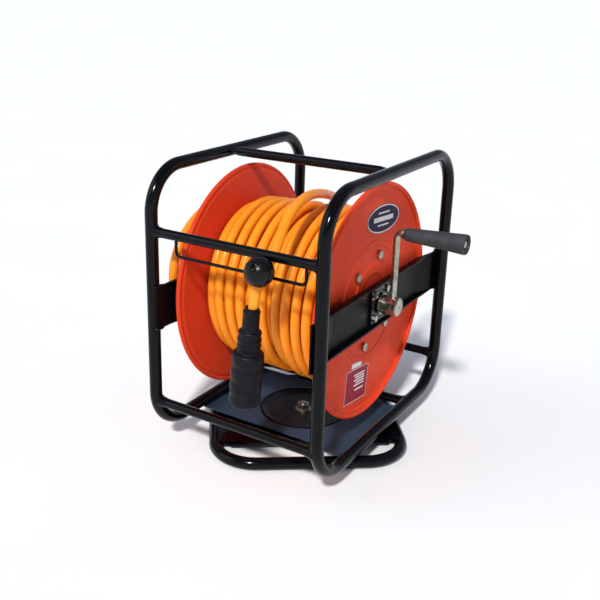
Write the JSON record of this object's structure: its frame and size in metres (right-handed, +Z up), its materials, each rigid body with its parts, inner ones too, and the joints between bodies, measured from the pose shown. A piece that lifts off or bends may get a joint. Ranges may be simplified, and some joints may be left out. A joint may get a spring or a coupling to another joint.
{
  "type": "hose reel",
  "caption": "Hand-cranked air and water hose reel: tube frame on a swivel base, red pressed discs, bright crank, orange hose with ball stop, boot and supply lead.",
  "frame": {"origin": "middle of the footprint, at floor level", "axes": "+Z up, +X along the drum axle towards the crank, +Y from the hose guide towards the rear"},
  "size_m": [0.4641, 0.4945, 0.48],
  "materials": {
    "frame_black": "gloss",
    "drum_red": "satin gloss",
    "zinc": "bright zinc plate",
    "brass": "machined",
    "hose_orange": "smooth PVC",
    "boot_rubber": "moulded satin",
    "grip_plastic": "matt",
    "ball_plastic": "semi-gloss",
    "nylon": "matt",
    "badge_face": "gloss film",
    "label_face": "gloss film"
  },
  "bodies": {
    "base": {"base_ring": "frame_black", "base_plate": "frame_black", "pivot_bolt": "zinc", "pivot_washer": "zinc", "pivot_nut": "zinc", "thrust_washer": "nylon"},
    "frame": {"tray": "frame_black", "left_hoop": "frame_black", "right_hoop": "frame_black", "top_bar": "frame_black", "front_upper_bar": "frame_black", "front_lower_bar": "frame_black", "rear_lower_bar": "frame_black", "rear_bottom_bar": "frame_black", "hose_guide": "frame_black", "left_bracket": "frame_black", "right_bracket": "frame_black", "left_bearing_housing": "frame_black", "right_bearing_housing": "frame_black", "left_bush": "brass", "right_bush": "brass", "bearing_bolts": "zinc", "bearing_nuts": "zinc", "swivel_body": "brass", "swivel_cap": "brass", "swivel_seals": "boot_rubber", "inlet_nipple": "brass", "lead_in_hose": "hose_orange", "lead_in_connector": "brass", "hose_tail": "hose_orange", "ball_stop_front": "ball_plastic", "ball_stop_rear": "ball_plastic", "ball_stop_screws": "zinc", "rubber_boot": "boot_rubber", "end_coupling": "brass"},
    "drum": {"hollow_axle": "zinc", "axle_circlip": "zinc", "axle_washer": "zinc", "drum_core": "drum_red", "outlet_pipe": "zinc", "axle_hubs": "zinc", "left_disc": "drum_red", "right_disc": "drum_red", "disc_bolts": "zinc", "disc_nuts": "zinc", "badge": "badge_face", "disc_label": "label_face", "crank_hub": "zinc", "crank_set_screws": "zinc", "crank_arm": "zinc", "crank_collar": "zinc", "grip_washer": "zinc", "grip_nut": "zinc", "hose_pack": "hose_orange"},
    "grip": {"grip": "grip_plastic"}
  },
  "joints": [
    {"name": "frame_swivel", "type": "hinge", "parent": "base", "child": "frame", "pos_m": [-0.0349, 0, 0.03], "axis": [0, 0, 1], "continuous": true},
    {"name": "drum_spin", "type": "hinge", "parent": "frame", "child": "drum", "pos_m": [-0.0349, 0, 0.255], "axis": [1, 0, 0], "continuous": true},
    {"name": "grip_spin", "type": "hinge", "parent": "drum", "child": "grip", "pos_m": [0.1751, 0, 0.375], "axis": [1, 0, 0], "continuous": true}
  ]
}
